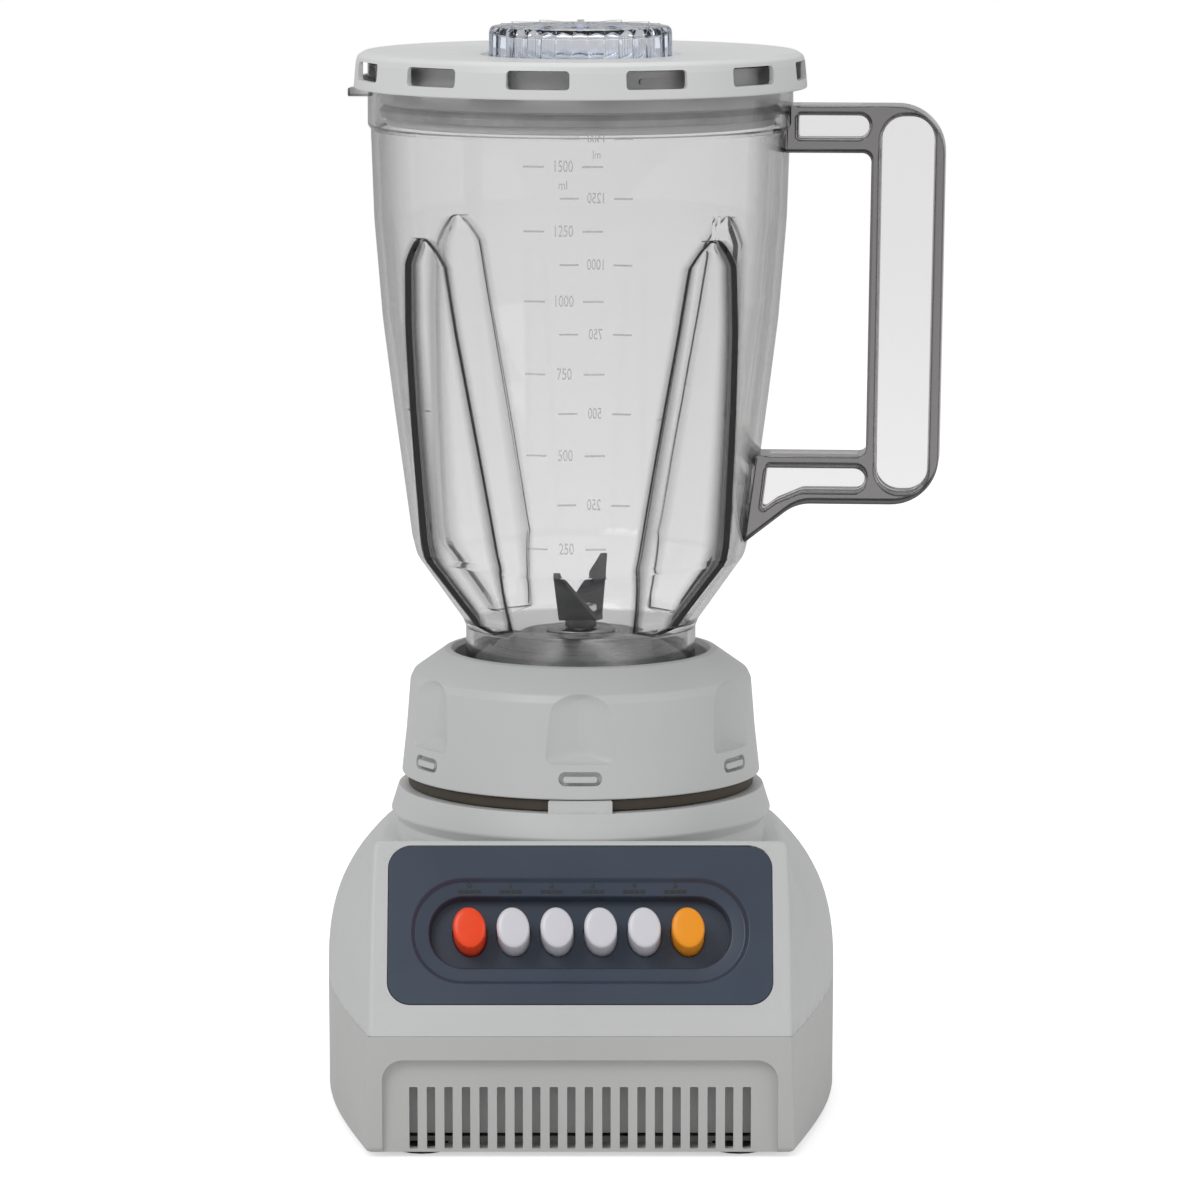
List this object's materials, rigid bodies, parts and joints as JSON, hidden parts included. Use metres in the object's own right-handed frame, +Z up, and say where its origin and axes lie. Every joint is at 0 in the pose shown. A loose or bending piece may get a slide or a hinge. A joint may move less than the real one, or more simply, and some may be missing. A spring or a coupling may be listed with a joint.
{
  "type": "countertop blender",
  "caption": "Countertop blender with push keys on a sloping panel, a clear tapered jar with a moulded handle, a screw-on blade unit, a lid and a measuring cap.",
  "frame": {"origin": "centre of the object's overall box at table height; the motor axis stands 17.8 mm to -X of it", "axes": "+Z up along the motor axis, -Y is the front with the keys, +X is the side of the jar's handle"},
  "size_m": [0.209, 0.188, 0.365],
  "materials": {
    "housing_grey": "satin light grey moulded plastic",
    "lower_grey": "slightly darker light grey moulded plastic, fine texture",
    "panel_blue": "slate blue-grey satin plastic",
    "key_red": "glossy red-orange plastic",
    "key_white": "glossy off-white plastic",
    "key_amber": "glossy amber plastic",
    "jar_clear": "clear plastic with a slight smoky grey tint, polished",
    "cap_clear": "clear plastic with a slight bluish tint",
    "lid_grey": "satin light grey moulded plastic",
    "brushed_steel": "brushed stainless steel",
    "blade_steel": "dark ground stainless steel",
    "lamination_steel": "stacked electrical steel sheets",
    "winding_copper": "enamelled copper",
    "bronze": "sintered bronze and brass",
    "carbon": "pressed carbon",
    "black_rubber": "black rubber",
    "brown_rubber": "dark brown-grey rubber",
    "pale_rubber": "mid grey silicone rubber",
    "black_plastic": "black nylon",
    "white_plastic": "natural white plastic"
  },
  "bodies": {
    "base": {"upper_housing": "housing_grey", "lower_housing": "lower_grey", "control_panel": "panel_blue", "switch_block": "white_plastic", "motor_bracket_upper": "lamination_steel", "motor_bracket_lower": "lamination_steel", "bearing_upper": "bronze", "bearing_lower": "bronze", "stator_core": "lamination_steel", "field_coil_front": "winding_copper", "field_coil_rear": "winding_copper", "carbon_brush_left": "carbon", "carbon_brush_right": "carbon", "brush_holder_left": "bronze", "brush_holder_right": "bronze", "motor_bolt_1": "brushed_steel", "motor_bolt_2": "brushed_steel", "splash_seal": "black_rubber", "seat_gasket": "brown_rubber", "terminal_block": "white_plastic", "cord_gland": "black_rubber", "foot_front_left": "black_rubber", "foot_front_right": "black_rubber", "foot_rear_left": "black_rubber", "foot_rear_right": "black_rubber", "housing_screw_1": "brushed_steel", "housing_screw_2": "brushed_steel", "housing_screw_3": "brushed_steel", "housing_screw_4": "brushed_steel"},
    "rotor": {"motor_shaft": "brushed_steel", "armature_core": "lamination_steel", "commutator": "winding_copper", "cooling_fan": "black_plastic", "drive_coupling": "black_plastic"},
    "jar_base": {"jar_collar": "housing_grey", "blade_carrier": "brushed_steel", "jar_seal": "black_rubber", "blade_bush": "bronze"},
    "blade_unit": {"blade_shaft": "brushed_steel", "blade_washer": "brushed_steel", "blade_hub": "blade_steel", "blade": "blade_steel", "blade_nut": "brushed_steel", "driven_coupling": "black_plastic"},
    "jar": {"jar": "jar_clear"},
    "lid": {"lid": "lid_grey", "lid_gasket": "pale_rubber"},
    "cap": {"measuring_cap": "cap_clear"},
    "key_0": {"key_0": "key_red"},
    "key_1": {"key_1": "key_white"},
    "key_2": {"key_2": "key_white"},
    "key_3": {"key_3": "key_white"},
    "key_4": {"key_4": "key_white"},
    "key_5": {"key_5": "key_amber"}
  },
  "joints": [
    {"name": "rotor_spin", "type": "hinge", "parent": "base", "child": "rotor", "pos_m": [-0.0178, 0, 0], "axis": [0, 0, 1], "continuous": true},
    {"name": "jar_lift", "type": "slide", "parent": "base", "child": "jar_base", "axis": [0, 0, 1], "range_m": [0, 0.1]},
    {"name": "blade_spin", "type": "hinge", "parent": "jar_base", "child": "blade_unit", "pos_m": [-0.0178, 0, 0], "axis": [0, 0, 1], "continuous": true},
    {"name": "jar_unscrew", "type": "hinge", "parent": "jar_base", "child": "jar", "pos_m": [-0.0178, 0, 0], "axis": [0, 0, 1], "range_deg": [0, 90]},
    {"name": "lid_lift", "type": "slide", "parent": "jar", "child": "lid", "axis": [0, 0, 1], "range_m": [0, 0.06]},
    {"name": "cap_lift", "type": "slide", "parent": "lid", "child": "cap", "axis": [0, 0, 1], "range_m": [0, 0.05]},
    {"name": "key_0_press", "type": "slide", "parent": "base", "child": "key_0", "axis": [0, 0.9054, -0.4246], "range_m": [0, 0.004], "stiffness_N_per_m": 400, "springref_m": -0.002},
    {"name": "key_1_press", "type": "slide", "parent": "base", "child": "key_1", "axis": [0, 0.9054, -0.4246], "range_m": [0, 0.004], "stiffness_N_per_m": 400, "springref_m": -0.002},
    {"name": "key_2_press", "type": "slide", "parent": "base", "child": "key_2", "axis": [0, 0.9054, -0.4246], "range_m": [0, 0.004], "stiffness_N_per_m": 400, "springref_m": -0.002},
    {"name": "key_3_press", "type": "slide", "parent": "base", "child": "key_3", "axis": [0, 0.9054, -0.4246], "range_m": [0, 0.004], "stiffness_N_per_m": 400, "springref_m": -0.002},
    {"name": "key_4_press", "type": "slide", "parent": "base", "child": "key_4", "axis": [0, 0.9054, -0.4246], "range_m": [0, 0.004], "stiffness_N_per_m": 400, "springref_m": -0.002},
    {"name": "key_5_press", "type": "slide", "parent": "base", "child": "key_5", "axis": [0, 0.9054, -0.4246], "range_m": [0, 0.004], "stiffness_N_per_m": 400, "springref_m": -0.002}
  ],
  "couplings": [
    {"joint": "blade_spin", "follows": "rotor_spin", "ratio": 1}
  ]
}
